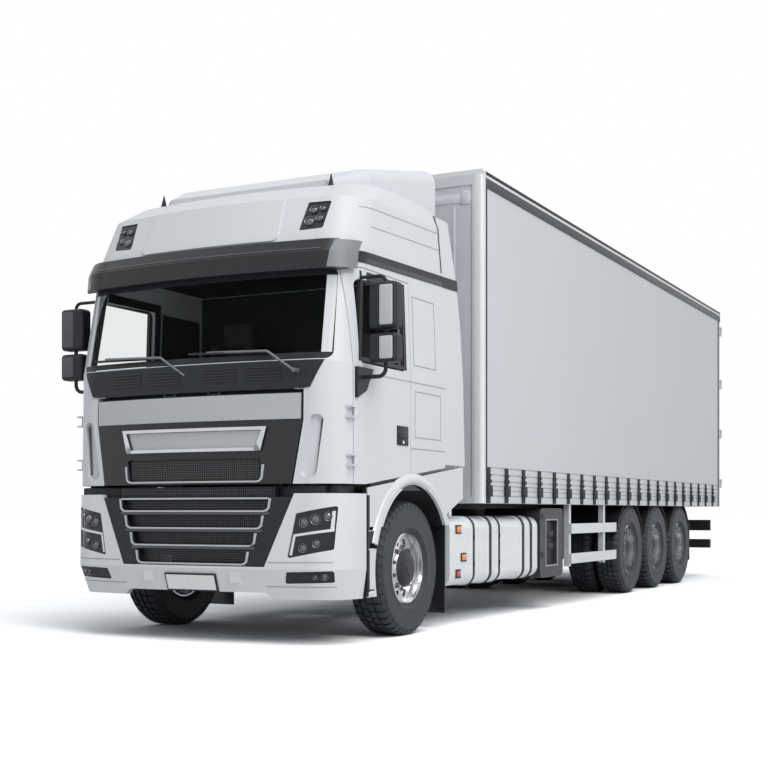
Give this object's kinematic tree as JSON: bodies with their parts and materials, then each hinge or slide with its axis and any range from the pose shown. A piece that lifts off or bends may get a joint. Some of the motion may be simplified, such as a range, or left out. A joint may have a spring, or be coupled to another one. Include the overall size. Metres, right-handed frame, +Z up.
{
  "type": "truck",
  "caption": "Rigid cab-over truck with a curtain-sided load body: hollow tilting cab with opening doors and front flap, steered front wheels, twin rear wheels and swinging rear doors.",
  "frame": {"origin": "on the ground, midway between the foremost and the rearmost point, on the centre plane", "axes": "+Z up, the cab faces -Y, +X is the vehicle's left side"},
  "size_m": [3.09, 11.9998, 4],
  "materials": {
    "silver_paint": "gloss",
    "chassis_paint": "satin",
    "cast_metal": "cast",
    "rubber": "matte",
    "tyre_rubber": "matte",
    "rim_aluminium": "polished",
    "tank_aluminium": "satin",
    "guard_aluminium": "satin",
    "body_aluminium": "satin",
    "black_plastic": "satin",
    "dark_plastic": "semi-gloss",
    "grey_plastic": "satin",
    "interior_plastic": "grained",
    "seat_cloth": "woven",
    "curtain_cloth": "coated",
    "deck": "coated",
    "lamp_glass": "clear",
    "window_glass": "tinted"
  },
  "bodies": {
    "chassis": {"chassis_frame": "chassis_paint", "front_axle_beam": "chassis_paint", "rear_axles": "chassis_paint", "rear_air_bellows": "rubber", "power_unit": "cast_metal", "front_bumper": "silver_paint", "lower_grille": "black_plastic", "front_lamps": "lamp_glass", "front_fenders": "silver_paint", "fuel_tank": "tank_aluminium", "side_boxes": "grey_plastic", "side_guards": "guard_aluminium", "rear_mudguards": "black_plastic", "underrun_bar": "chassis_paint", "load_floor": "deck", "headboard": "body_aluminium", "body_roof": "body_aluminium", "rear_frame": "body_aluminium", "curtains": "curtain_cloth"},
    "cab": {"cab_floor": "interior_plastic", "cab_front": "silver_paint", "windscreen": "window_glass", "cab_sides": "silver_paint", "cab_rear_wall": "silver_paint", "cab_roof": "silver_paint", "sun_visor": "dark_plastic", "roof_lamps": "lamp_glass", "roof_deflector": "silver_paint", "side_deflectors": "silver_paint", "dashboard": "interior_plastic", "seats": "seat_cloth", "wipers": "black_plastic"},
    "front_flap": {"front_flap": "black_plastic"},
    "cab_door_left": {"cab_door_left": "silver_paint", "door_glass_left": "window_glass", "mirror_left": "black_plastic"},
    "rear_door_left": {"rear_door_left": "body_aluminium"},
    "knuckle_left": {"knuckle_left": "cast_metal"},
    "front_wheel_left": {"front_tyre_left": "tyre_rubber", "front_rim_left": "rim_aluminium"},
    "rear_wheel_1_left": {"twin_tyres_1_left": "tyre_rubber", "twin_rims_1_left": "rim_aluminium"},
    "rear_wheel_2_left": {"twin_tyres_2_left": "tyre_rubber", "twin_rims_2_left": "rim_aluminium"},
    "rear_wheel_3_left": {"twin_tyres_3_left": "tyre_rubber", "twin_rims_3_left": "rim_aluminium"},
    "cab_door_right": {"cab_door_right": "silver_paint", "door_glass_right": "window_glass", "mirror_right": "black_plastic"},
    "rear_door_right": {"rear_door_right": "body_aluminium"},
    "knuckle_right": {"knuckle_right": "cast_metal"},
    "front_wheel_right": {"front_tyre_right": "tyre_rubber", "front_rim_right": "rim_aluminium"},
    "rear_wheel_1_right": {"twin_tyres_1_right": "tyre_rubber", "twin_rims_1_right": "rim_aluminium"},
    "rear_wheel_2_right": {"twin_tyres_2_right": "tyre_rubber", "twin_rims_2_right": "rim_aluminium"},
    "rear_wheel_3_right": {"twin_tyres_3_right": "tyre_rubber", "twin_rims_3_right": "rim_aluminium"}
  },
  "joints": [
    {"name": "cab_tilt", "type": "hinge", "parent": "chassis", "child": "cab", "pos_m": [0, -5.67, 0.82], "axis": [1, 0, 0], "range_deg": [0, 60]},
    {"name": "front_flap_hinge", "type": "hinge", "parent": "cab", "child": "front_flap", "pos_m": [0, -5.956, 1.844], "axis": [-1, 0, 0], "range_deg": [0, 75]},
    {"name": "cab_door_left_hinge", "type": "hinge", "parent": "cab", "child": "cab_door_left", "pos_m": [1.249, -5.704, 1.5], "axis": [0, 0, -1], "range_deg": [0, 70]},
    {"name": "cab_door_right_hinge", "type": "hinge", "parent": "cab", "child": "cab_door_right", "pos_m": [-1.249, -5.704, 1.5], "axis": [0, 0, 1], "range_deg": [0, 70]},
    {"name": "rear_door_left_hinge", "type": "hinge", "parent": "chassis", "child": "rear_door_left", "pos_m": [1.283, 5.948, 2.5], "axis": [0, 0, -1], "range_deg": [0, 265]},
    {"name": "rear_door_right_hinge", "type": "hinge", "parent": "chassis", "child": "rear_door_right", "pos_m": [-1.283, 5.948, 2.5], "axis": [0, 0, 1], "range_deg": [0, 265]},
    {"name": "steer_left", "type": "hinge", "parent": "chassis", "child": "knuckle_left", "pos_m": [0.9, -4.72, 0.53], "axis": [0, 0, 1], "range_deg": [-40, 40]},
    {"name": "steer_right", "type": "hinge", "parent": "chassis", "child": "knuckle_right", "pos_m": [-0.9, -4.72, 0.53], "axis": [0, 0, 1], "range_deg": [-40, 40]},
    {"name": "front_wheel_left_spin", "type": "hinge", "parent": "knuckle_left", "child": "front_wheel_left", "pos_m": [1.07, -4.72, 0.53], "axis": [1, 0, 0], "continuous": true},
    {"name": "front_wheel_right_spin", "type": "hinge", "parent": "knuckle_right", "child": "front_wheel_right", "pos_m": [-1.07, -4.72, 0.53], "axis": [1, 0, 0], "continuous": true},
    {"name": "rear_wheel_1_left_spin", "type": "hinge", "parent": "chassis", "child": "rear_wheel_1_left", "pos_m": [0.9125, 1.33, 0.53], "axis": [1, 0, 0], "continuous": true},
    {"name": "rear_wheel_1_right_spin", "type": "hinge", "parent": "chassis", "child": "rear_wheel_1_right", "pos_m": [-0.9125, 1.33, 0.53], "axis": [1, 0, 0], "continuous": true},
    {"name": "rear_wheel_2_left_spin", "type": "hinge", "parent": "chassis", "child": "rear_wheel_2_left", "pos_m": [0.9125, 2.51, 0.53], "axis": [1, 0, 0], "continuous": true},
    {"name": "rear_wheel_2_right_spin", "type": "hinge", "parent": "chassis", "child": "rear_wheel_2_right", "pos_m": [-0.9125, 2.51, 0.53], "axis": [1, 0, 0], "continuous": true},
    {"name": "rear_wheel_3_left_spin", "type": "hinge", "parent": "chassis", "child": "rear_wheel_3_left", "pos_m": [0.9125, 3.69, 0.53], "axis": [1, 0, 0], "continuous": true},
    {"name": "rear_wheel_3_right_spin", "type": "hinge", "parent": "chassis", "child": "rear_wheel_3_right", "pos_m": [-0.9125, 3.69, 0.53], "axis": [1, 0, 0], "continuous": true}
  ],
  "couplings": [
    {"joint": "steer_right", "follows": "steer_left", "ratio": 1}
  ]
}
